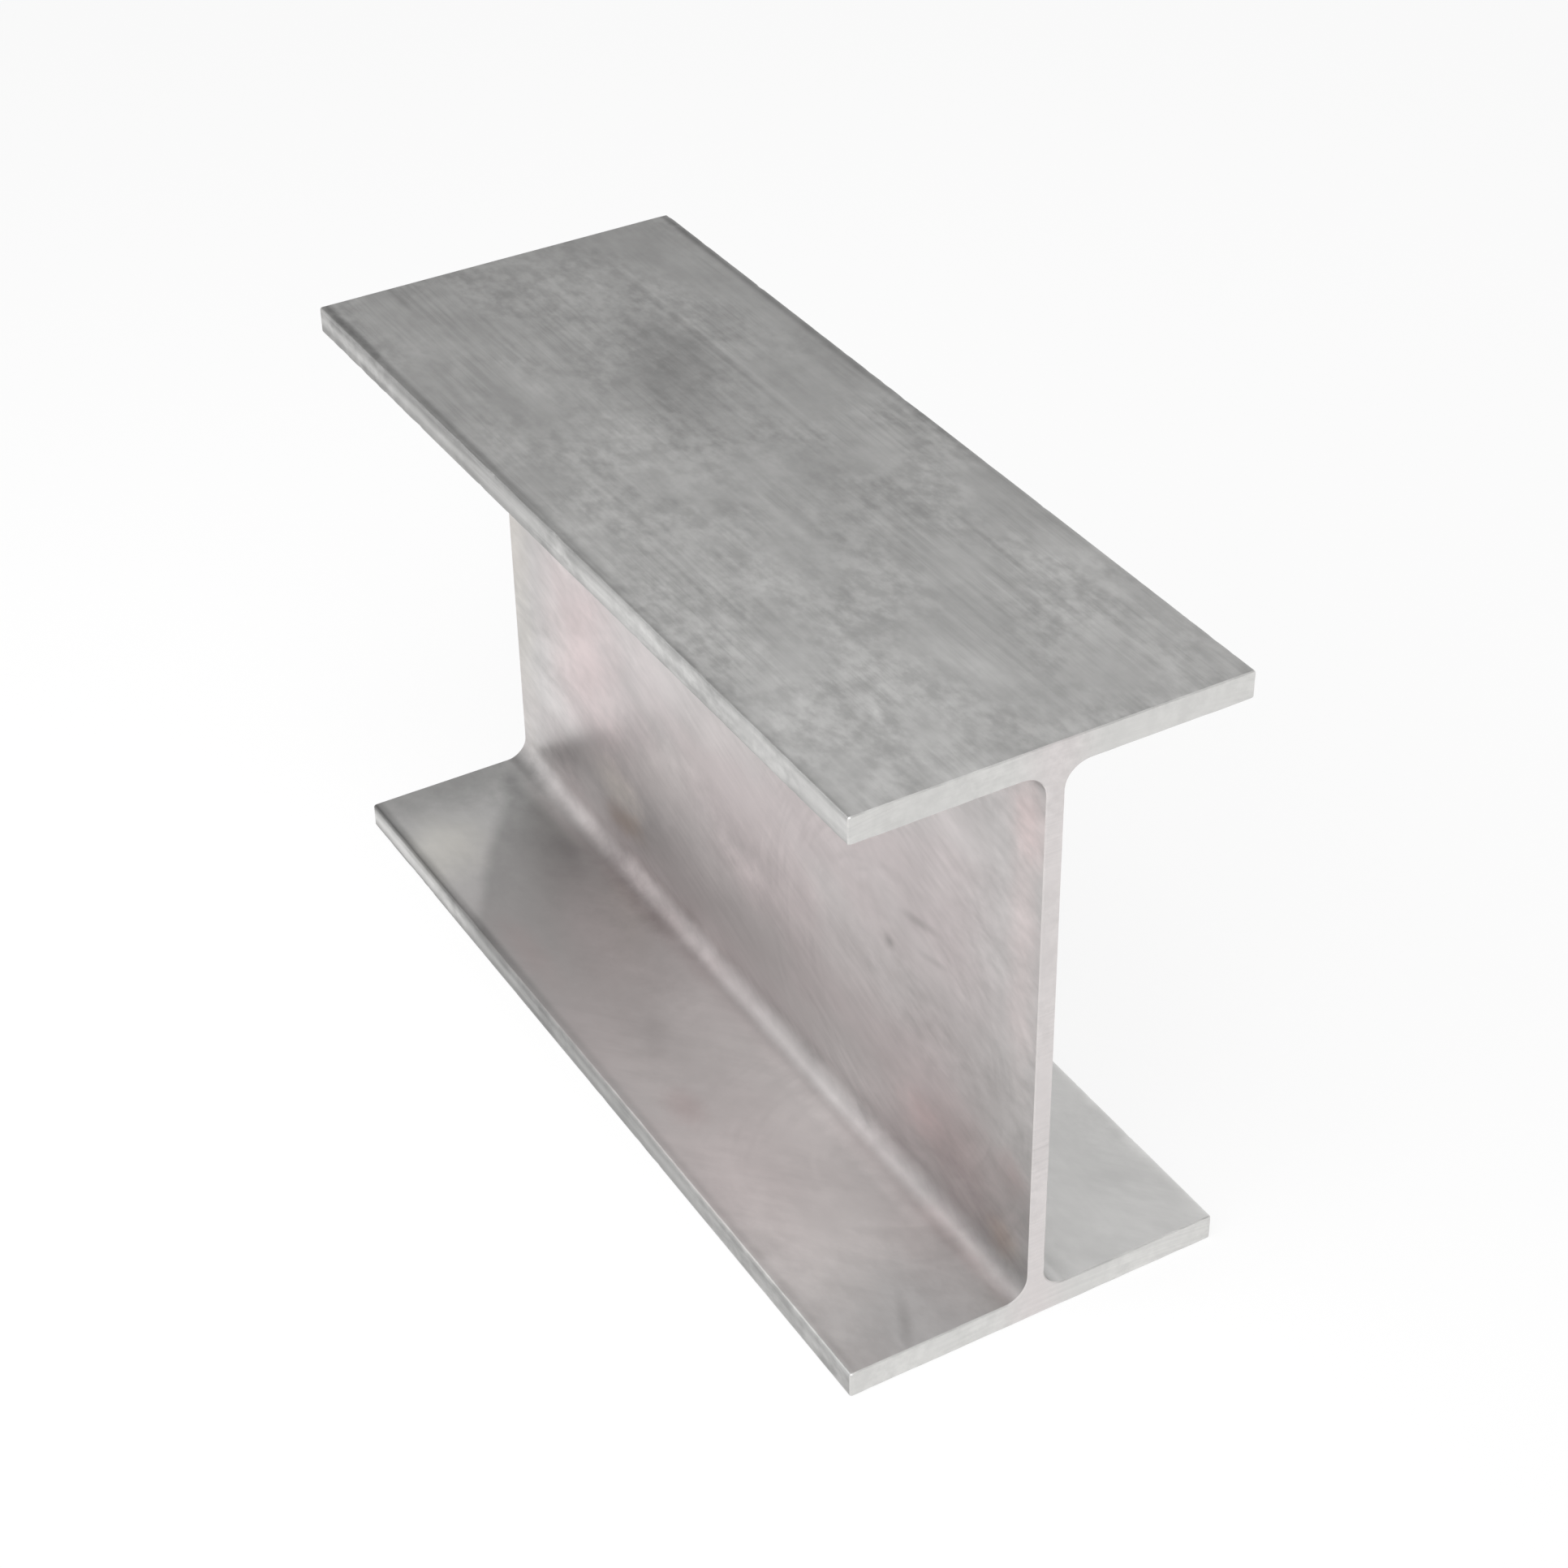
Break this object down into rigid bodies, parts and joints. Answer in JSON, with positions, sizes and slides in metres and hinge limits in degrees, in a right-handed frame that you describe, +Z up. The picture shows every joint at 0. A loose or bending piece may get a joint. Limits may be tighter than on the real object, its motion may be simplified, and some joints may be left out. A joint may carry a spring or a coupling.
{
  "type": "steel i-beam",
  "caption": "Short sawn length of rolled I-section steel beam with parallel flanges, a thin upright web and rounded root fillets.",
  "frame": {"origin": "middle of the underside of the lower flange, on the surface that the beam stands on", "axes": "+X along the beam, out of one sawn end; +Y across the flanges; +Z up, along the depth of the web"},
  "size_m": [0.321, 0.1254, 0.203],
  "materials": {
    "pickled_steel": "pale grey pickled mill finish, satin, with faint rolling streaks along its length and sawn ends"
  },
  "bodies": {
    "root": {"i_beam": "pickled_steel"}
  },
  "joints": []
}
